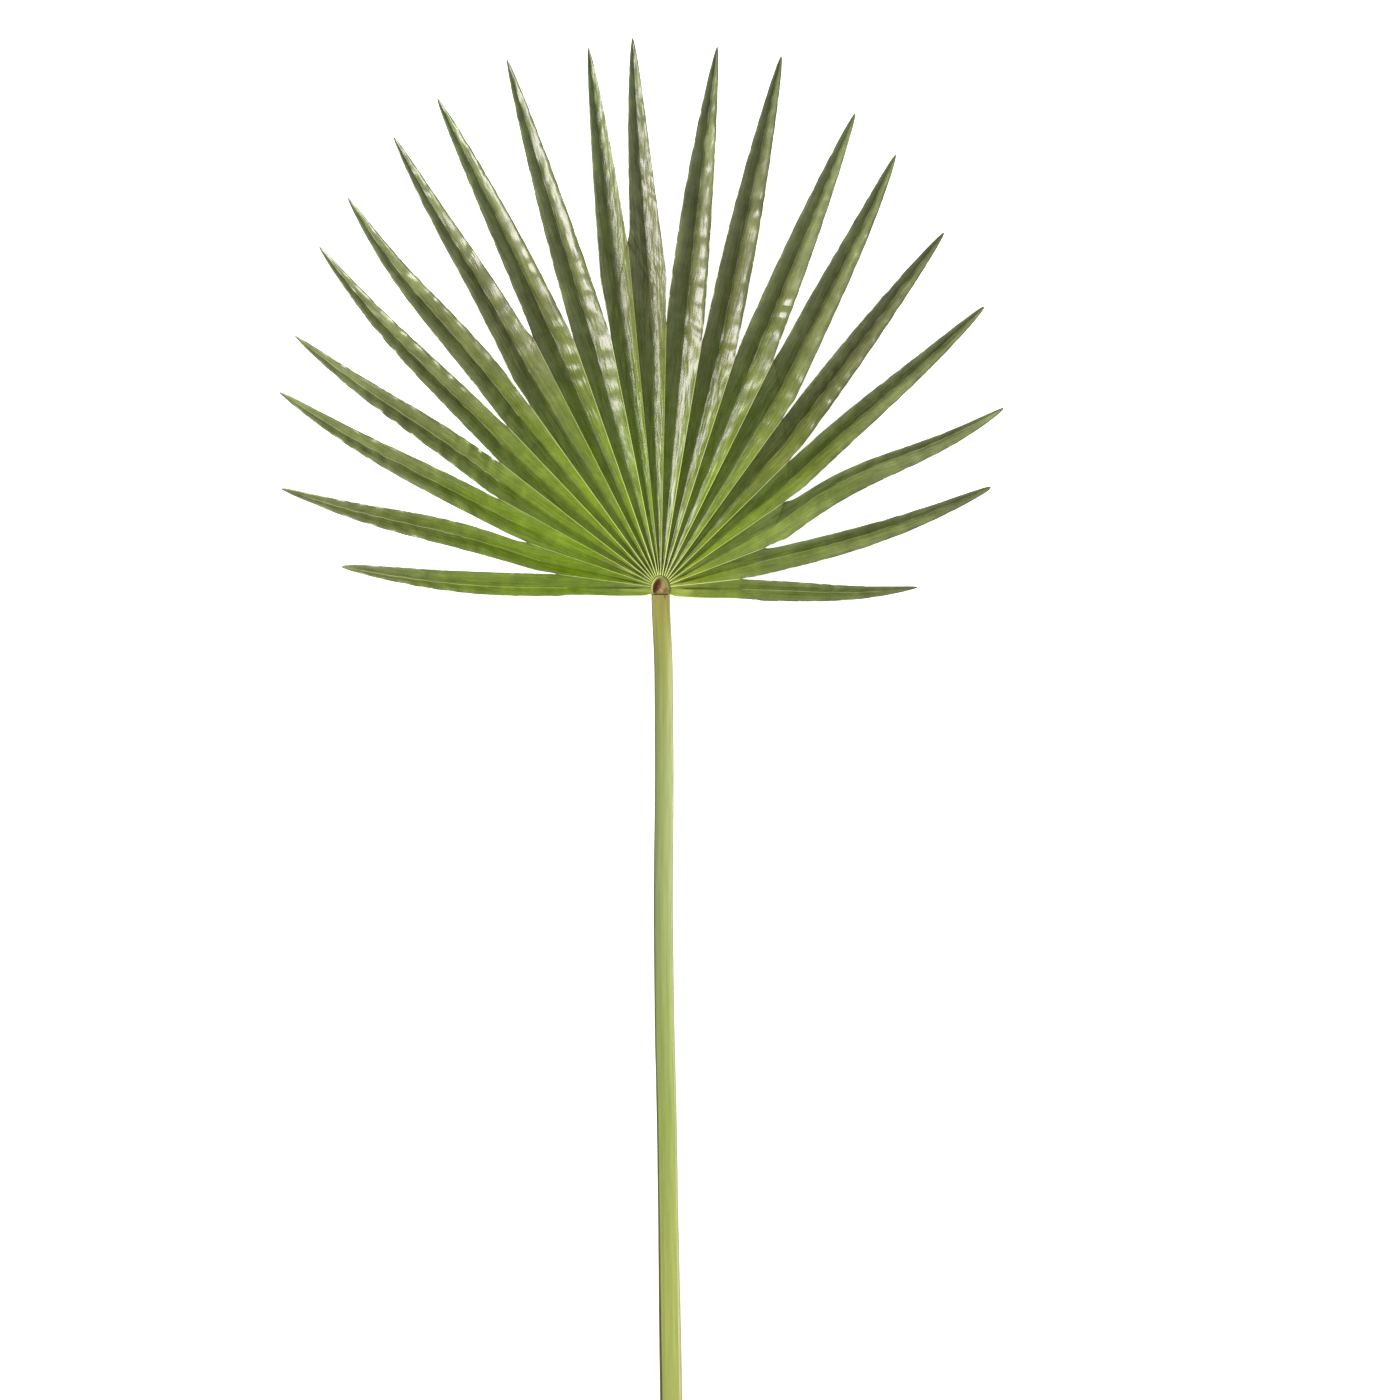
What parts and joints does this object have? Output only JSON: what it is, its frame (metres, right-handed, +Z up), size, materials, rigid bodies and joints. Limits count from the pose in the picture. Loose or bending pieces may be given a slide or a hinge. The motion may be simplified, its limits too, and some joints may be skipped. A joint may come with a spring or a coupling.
{
  "type": "fan palm leaf",
  "caption": "Cut fan palm leaf with a pleated green blade split into long pointed fingers, on a pale green stalk, lying on its underside.",
  "frame": {"origin": "middle of the leaf's box on the ground it lies on", "axes": "+Z up out of the upper side of the leaf, +Y from the cut end of the stalk towards the top of the fan, +X to the right seen from above with the fan at the top"},
  "size_m": [0.403, 0.7998, 0.024],
  "materials": {
    "leaf_green": "waxy satin leaf",
    "stalk_green": "smooth satin stalk",
    "scale_brown": "dry matt scale"
  },
  "bodies": {
    "root": {"blade": "leaf_green", "petiole": "stalk_green", "hastula": "scale_brown"}
  },
  "joints": []
}
